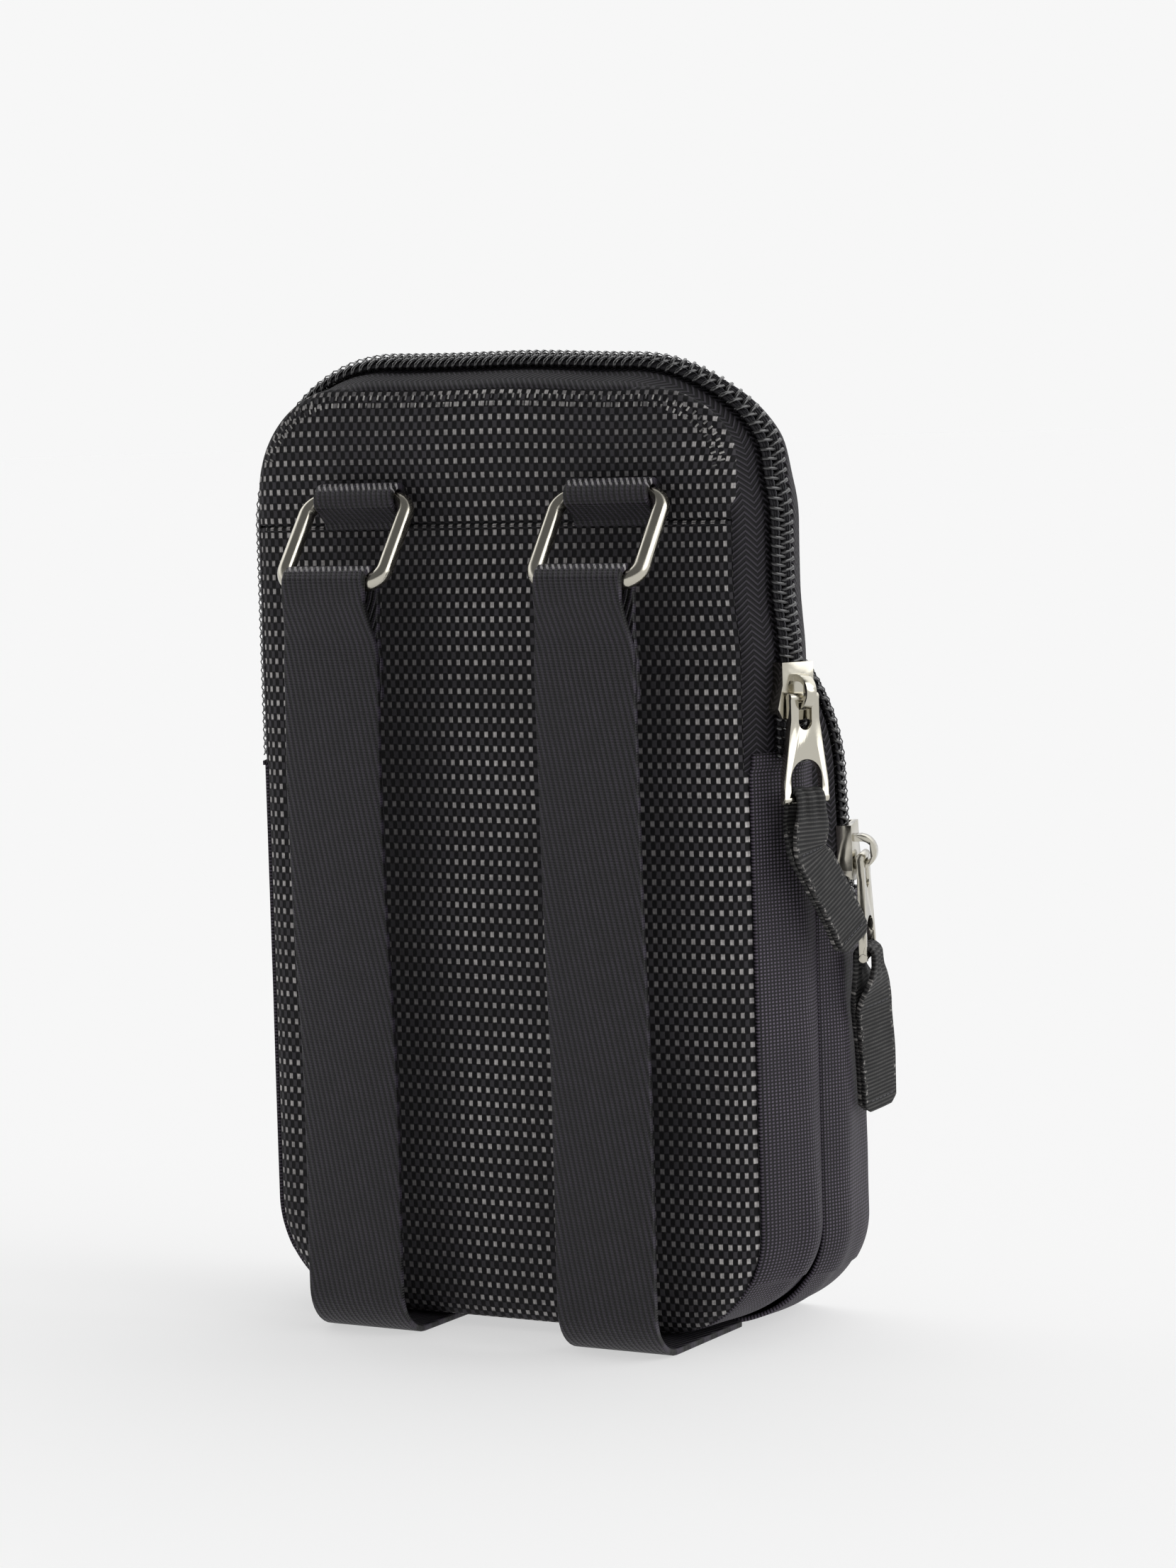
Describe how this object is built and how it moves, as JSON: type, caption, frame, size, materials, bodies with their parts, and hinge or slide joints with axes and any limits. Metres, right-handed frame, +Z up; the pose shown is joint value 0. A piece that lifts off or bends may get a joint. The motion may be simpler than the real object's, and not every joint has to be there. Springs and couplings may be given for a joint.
{
  "type": "phone pouch",
  "caption": "Tall zipped belt pouch for a phone, with a zipped front pocket, webbing belt loops hung from rectangular rings on its back, and ribbon pulls.",
  "frame": {"origin": "on the floor under the middle of the width, on the front pocket's flat underside", "axes": "+Z up, +X across the width, the back panel with the belt loops faces +Y and the front pocket faces -Y"},
  "size_m": [0.127, 0.0632, 0.184],
  "materials": {
    "dobby_cloth": "black dobby-weave polyester with small light dots",
    "side_nylon": "black plain-weave nylon",
    "zip_tape": "black herringbone polyester tape",
    "zip_coil": "black nylon coil",
    "nickel": "bright nickel plate on zinc alloy and steel wire",
    "grosgrain": "dark grosgrain ribbon",
    "webbing": "black twill webbing",
    "lining": "thin dark polyester lining",
    "foam": "soft closed-cell foam sheet",
    "binding": "black binding tape"
  },
  "bodies": {
    "pouch": {"back_upper_panel": "dobby_cloth", "back_lower_panel": "dobby_cloth", "back_padding": "foam", "main_binding": "binding", "main_lining": "lining", "main_front_panel": "dobby_cloth", "main_gusset": "side_nylon", "main_tape_back": "zip_tape", "main_tape_front": "zip_tape", "main_coil_back": "zip_coil", "main_coil_front": "zip_coil", "pocket_gusset": "side_nylon", "pocket_front_panel": "dobby_cloth", "pocket_binding": "binding", "pocket_lining": "lining", "pocket_tape_back": "zip_tape", "pocket_tape_front": "zip_tape", "pocket_coil_back": "zip_coil", "pocket_coil_front": "zip_coil", "ring_tab_left": "webbing", "ring_tab_right": "webbing", "strap_base_left": "webbing", "strap_base_right": "webbing"},
    "main_slider": {"main_slider": "nickel"},
    "main_tab": {"main_tab": "nickel"},
    "main_ribbon": {"main_ribbon": "grosgrain"},
    "pocket_slider": {"pocket_slider": "nickel"},
    "pocket_tab": {"pocket_tab": "nickel"},
    "pocket_ribbon": {"pocket_ribbon": "grosgrain"},
    "ring_left": {"ring_left": "nickel"},
    "ring_right": {"ring_right": "nickel"},
    "strap_left": {"strap_left": "webbing"},
    "strap_right": {"strap_right": "webbing"}
  },
  "joints": [
    {"name": "main_slide", "type": "slide", "parent": "pouch", "child": "main_slider", "axis": [0, 0, 1], "range_m": [-0.0075, 0.024], "deforming": ["main_coil_back", "main_coil_front"]},
    {"name": "main_tab_hinge", "type": "hinge", "parent": "main_slider", "child": "main_tab", "pos_m": [-0.05991, 0.01334, 0.1194], "axis": [0.4226, 0.9063, 0], "range_deg": [0, 110]},
    {"name": "main_ribbon_hinge", "type": "hinge", "parent": "main_tab", "child": "main_ribbon", "pos_m": [-0.05991, 0.01334, 0.101], "axis": [0.4226, 0.9063, 0], "range_deg": [0, 60]},
    {"name": "pocket_slide", "type": "slide", "parent": "pouch", "child": "pocket_slider", "axis": [0, 0.0744, 0.9972], "range_m": [-0.005, 0.01], "deforming": ["pocket_coil_back", "pocket_coil_front"]},
    {"name": "pocket_tab_hinge", "type": "hinge", "parent": "pocket_slider", "child": "pocket_tab", "pos_m": [-0.06113, -0.00745, 0.08849], "axis": [-0.2588, 0.9632, -0.0718], "range_deg": [0, 110]},
    {"name": "pocket_ribbon_hinge", "type": "hinge", "parent": "pocket_tab", "child": "pocket_ribbon", "pos_m": [-0.06113, -0.00881, 0.07014], "axis": [-0.2588, 0.9632, -0.0718], "range_deg": [0, 60]},
    {"name": "ring_left_hinge", "type": "hinge", "parent": "pouch", "child": "ring_left", "pos_m": [-0.0286, 0.0256, 0.1566], "axis": [1, 0, 0], "range_deg": [-20, 0], "stiffness_Nm_per_rad": 0.02},
    {"name": "strap_left_hinge", "type": "hinge", "parent": "pouch", "child": "strap_left", "pos_m": [-0.0286, 0.028, 0.0007], "axis": [1, 0, 0], "range_deg": [-0.1, 2.5]},
    {"name": "ring_right_hinge", "type": "hinge", "parent": "pouch", "child": "ring_right", "pos_m": [0.0254, 0.0256, 0.1566], "axis": [1, 0, 0], "range_deg": [-20, 0], "stiffness_Nm_per_rad": 0.02},
    {"name": "strap_right_hinge", "type": "hinge", "parent": "pouch", "child": "strap_right", "pos_m": [0.0254, 0.028, 0.0007], "axis": [1, 0, 0], "range_deg": [-0.1, 2.5]}
  ],
  "couplings": [
    {"joint": "strap_left_hinge", "follows": "ring_left_hinge", "ratio": -0.1183},
    {"joint": "strap_right_hinge", "follows": "ring_right_hinge", "ratio": -0.1183}
  ]
}
